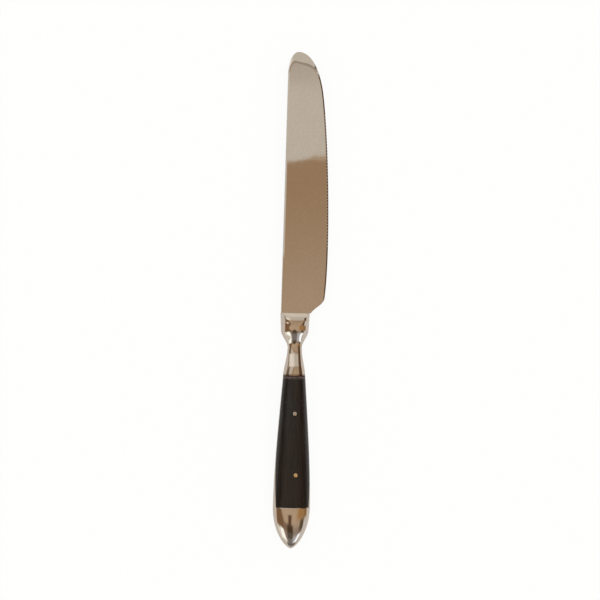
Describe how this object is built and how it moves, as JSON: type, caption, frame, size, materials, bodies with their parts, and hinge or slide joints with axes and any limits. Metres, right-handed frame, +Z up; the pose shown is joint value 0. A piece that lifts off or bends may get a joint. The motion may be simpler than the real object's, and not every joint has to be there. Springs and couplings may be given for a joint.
{
  "type": "table knife",
  "caption": "Riveted table knife: round-tipped serrated blade in a waisted metal bolster, black wooden scales pinned to the tang and a pointed metal pommel.",
  "frame": {"origin": "middle of the level stretch of the back scale's under face, on the plane that the knife lies on", "axes": "+Y along the knife to the tip of the blade, +X to the cutting edge, +Z up from the under face to the upper face"},
  "size_m": [0.0237, 0.2351, 0.0106],
  "materials": {
    "blade_steel": "polished stainless steel with fine hairlines along the blade",
    "frame_metal": "mirror polished, slightly worn",
    "black_wood": "satin black, fine straight grain along the handle",
    "brass_pin": "ground flush, lightly tarnished"
  },
  "bodies": {
    "root": {"blade": "blade_steel", "handle_frame": "frame_metal", "front_scale": "black_wood", "back_scale": "black_wood", "upper_rivet": "brass_pin", "lower_rivet": "brass_pin"}
  },
  "joints": []
}
